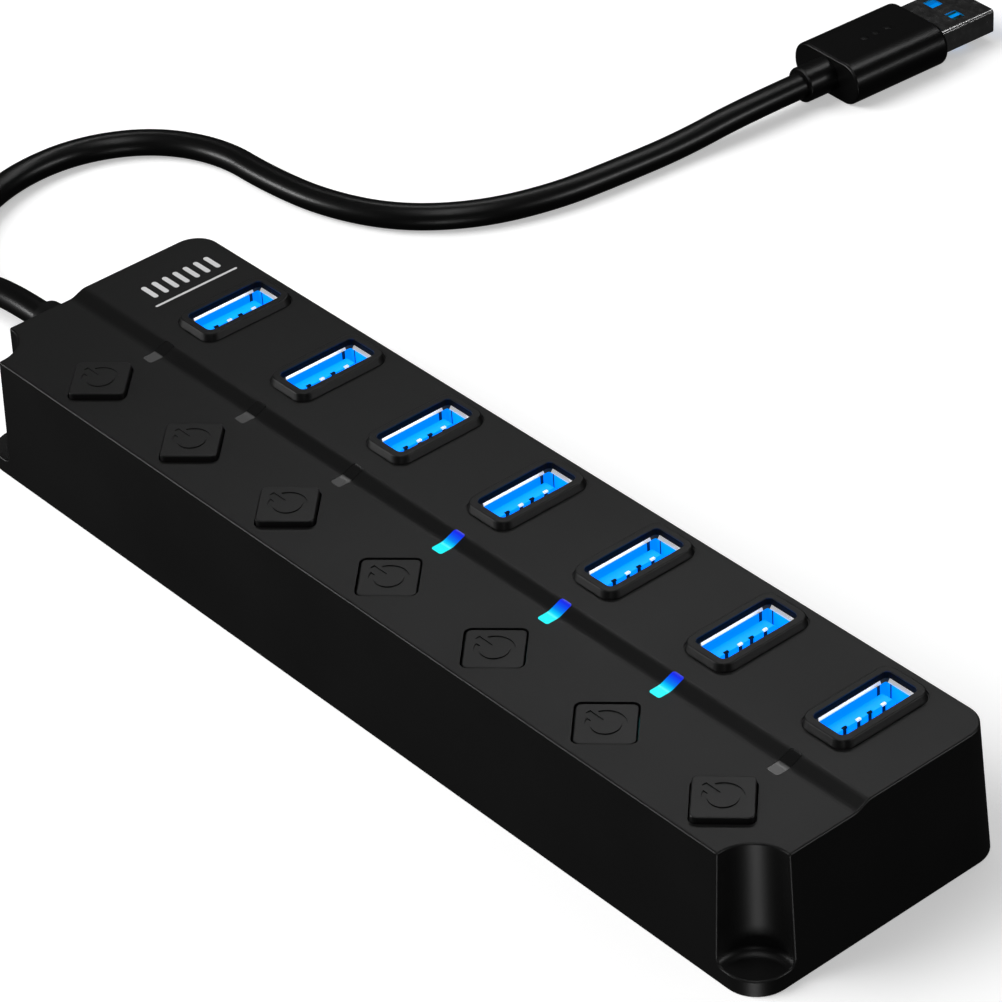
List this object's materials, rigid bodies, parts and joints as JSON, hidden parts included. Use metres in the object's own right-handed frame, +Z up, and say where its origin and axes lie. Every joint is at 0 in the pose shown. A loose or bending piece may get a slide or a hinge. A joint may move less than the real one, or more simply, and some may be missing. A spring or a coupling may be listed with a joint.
{
  "type": "usb hub",
  "caption": "Slim desktop USB hub with a row of upright ports, a latching push switch and indicator window per port, and a short captive cable with plug.",
  "frame": {"origin": "centre of the base, on the table under the four feet", "axes": "+X along the hub, away from the cable; +Y towards the port row; +Z up"},
  "size_m": [0.2324, 0.1967, 0.0224],
  "materials": {
    "case_black": "satin fine-textured ABS",
    "base_black": "matt moulded ABS",
    "foot_rubber": "matt rubber",
    "screw_steel": "zinc-plated steel",
    "board_green": "solder-masked glass-epoxy",
    "chip_black": "matt moulded epoxy",
    "component_grey": "satin metal cans and chip ends",
    "led_white": "moulded diode body",
    "contact_gold": "gold-flashed spring contact",
    "lead_copper": "insulated hook-up wire",
    "cable_jacket": "satin flexible jacket",
    "strain_relief": "satin moulded strain relief",
    "plug_grip": "satin soft-touch overmould",
    "plug_metal": "nickel-plated steel",
    "port_metal": "nickel-plated steel",
    "port_blue": "blue moulded insulator",
    "button_black": "satin ABS",
    "switch_black": "moulded switch housing",
    "plunger_white": "acetal plunger",
    "window_clear": "translucent light guide"
  },
  "bodies": {
    "case": {"top_shell": "case_black", "base_plate": "base_black", "rubber_feet": "foot_rubber", "case_screws": "screw_steel", "circuit_board": "board_green", "hub_controllers": "chip_black", "board_components": "component_grey", "status_leds": "led_white", "port_contacts": "contact_gold", "cable_leads": "lead_copper", "cable_tail": "cable_jacket", "cable_gland": "strain_relief", "cable": "cable_jacket", "plug_overmould": "plug_grip", "plug_shell": "plug_metal", "plug_insulator": "port_blue", "plug_contacts": "contact_gold", "port_shell_1": "port_metal", "port_insulator_1": "port_blue", "switch_body_1": "switch_black", "light_pipe_1": "window_clear", "port_shell_2": "port_metal", "port_insulator_2": "port_blue", "switch_body_2": "switch_black", "light_pipe_2": "window_clear", "port_shell_3": "port_metal", "port_insulator_3": "port_blue", "switch_body_3": "switch_black", "light_pipe_3": "window_clear", "port_shell_4": "port_metal", "port_insulator_4": "port_blue", "switch_body_4": "switch_black", "light_pipe_4": "window_clear", "port_shell_5": "port_metal", "port_insulator_5": "port_blue", "switch_body_5": "switch_black", "light_pipe_5": "window_clear", "port_shell_6": "port_metal", "port_insulator_6": "port_blue", "switch_body_6": "switch_black", "light_pipe_6": "window_clear", "port_shell_7": "port_metal", "port_insulator_7": "port_blue", "switch_body_7": "switch_black", "light_pipe_7": "window_clear"},
    "button_1": {"button_cap_1": "button_black", "switch_plunger_1": "plunger_white"},
    "button_2": {"button_cap_2": "button_black", "switch_plunger_2": "plunger_white"},
    "button_3": {"button_cap_3": "button_black", "switch_plunger_3": "plunger_white"},
    "button_4": {"button_cap_4": "button_black", "switch_plunger_4": "plunger_white"},
    "button_5": {"button_cap_5": "button_black", "switch_plunger_5": "plunger_white"},
    "button_6": {"button_cap_6": "button_black", "switch_plunger_6": "plunger_white"},
    "button_7": {"button_cap_7": "button_black", "switch_plunger_7": "plunger_white"}
  },
  "joints": [
    {"name": "button_1_press", "type": "slide", "parent": "case", "child": "button_1", "axis": [0, 0, 1], "range_m": [-0.0014, 0], "stiffness_N_per_m": 600, "springref_m": 0.001},
    {"name": "button_2_press", "type": "slide", "parent": "case", "child": "button_2", "axis": [0, 0, 1], "range_m": [-0.0014, 0], "stiffness_N_per_m": 600, "springref_m": 0.001},
    {"name": "button_3_press", "type": "slide", "parent": "case", "child": "button_3", "axis": [0, 0, 1], "range_m": [-0.0014, 0], "stiffness_N_per_m": 600, "springref_m": 0.001},
    {"name": "button_4_press", "type": "slide", "parent": "case", "child": "button_4", "axis": [0, 0, 1], "range_m": [-0.0004, 0.001], "stiffness_N_per_m": 600},
    {"name": "button_5_press", "type": "slide", "parent": "case", "child": "button_5", "axis": [0, 0, 1], "range_m": [-0.0004, 0.001], "stiffness_N_per_m": 600},
    {"name": "button_6_press", "type": "slide", "parent": "case", "child": "button_6", "axis": [0, 0, 1], "range_m": [-0.0004, 0.001], "stiffness_N_per_m": 600},
    {"name": "button_7_press", "type": "slide", "parent": "case", "child": "button_7", "axis": [0, 0, 1], "range_m": [-0.0014, 0], "stiffness_N_per_m": 600, "springref_m": 0.001}
  ]
}
